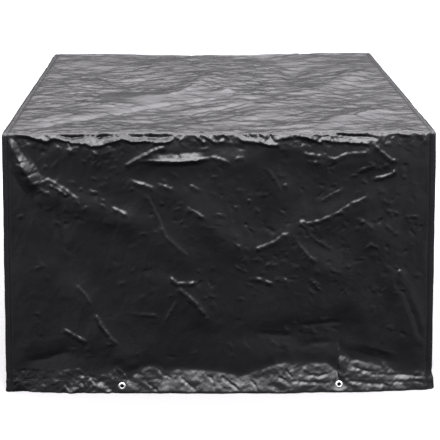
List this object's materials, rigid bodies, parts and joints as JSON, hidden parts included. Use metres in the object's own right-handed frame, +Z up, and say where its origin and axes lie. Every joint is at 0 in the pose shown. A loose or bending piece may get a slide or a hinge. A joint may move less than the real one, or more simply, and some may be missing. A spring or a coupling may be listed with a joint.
{
  "type": "patio furniture cover",
  "caption": "Box-shaped black tarpaulin cover for garden furniture, hollow and open below, with a kicked-out hem and pressed metal eyelets.",
  "frame": {"origin": "underside of the cover's top, at its centre, where the furniture carries it", "axes": "+Z up, -Y towards the front that the picture shows, +X to the right as seen from the front"},
  "size_m": [1.5594, 1.5551, 0.9623],
  "materials": {
    "black_tarpaulin": "semi-gloss woven film",
    "eyelet_metal": "bright pressed"
  },
  "bodies": {
    "root": {"wrap_panel": "black_tarpaulin", "side_panel_left": "black_tarpaulin", "side_panel_right": "black_tarpaulin", "hem_front": "black_tarpaulin", "hem_back": "black_tarpaulin", "hem_left": "black_tarpaulin", "hem_right": "black_tarpaulin", "eyelet_front_left": "eyelet_metal", "eyelet_front_right": "eyelet_metal", "eyelet_back_left": "eyelet_metal", "eyelet_back_right": "eyelet_metal", "eyelet_left_front": "eyelet_metal", "eyelet_left_back": "eyelet_metal", "eyelet_right_front": "eyelet_metal", "eyelet_right_back": "eyelet_metal"}
  },
  "joints": []
}
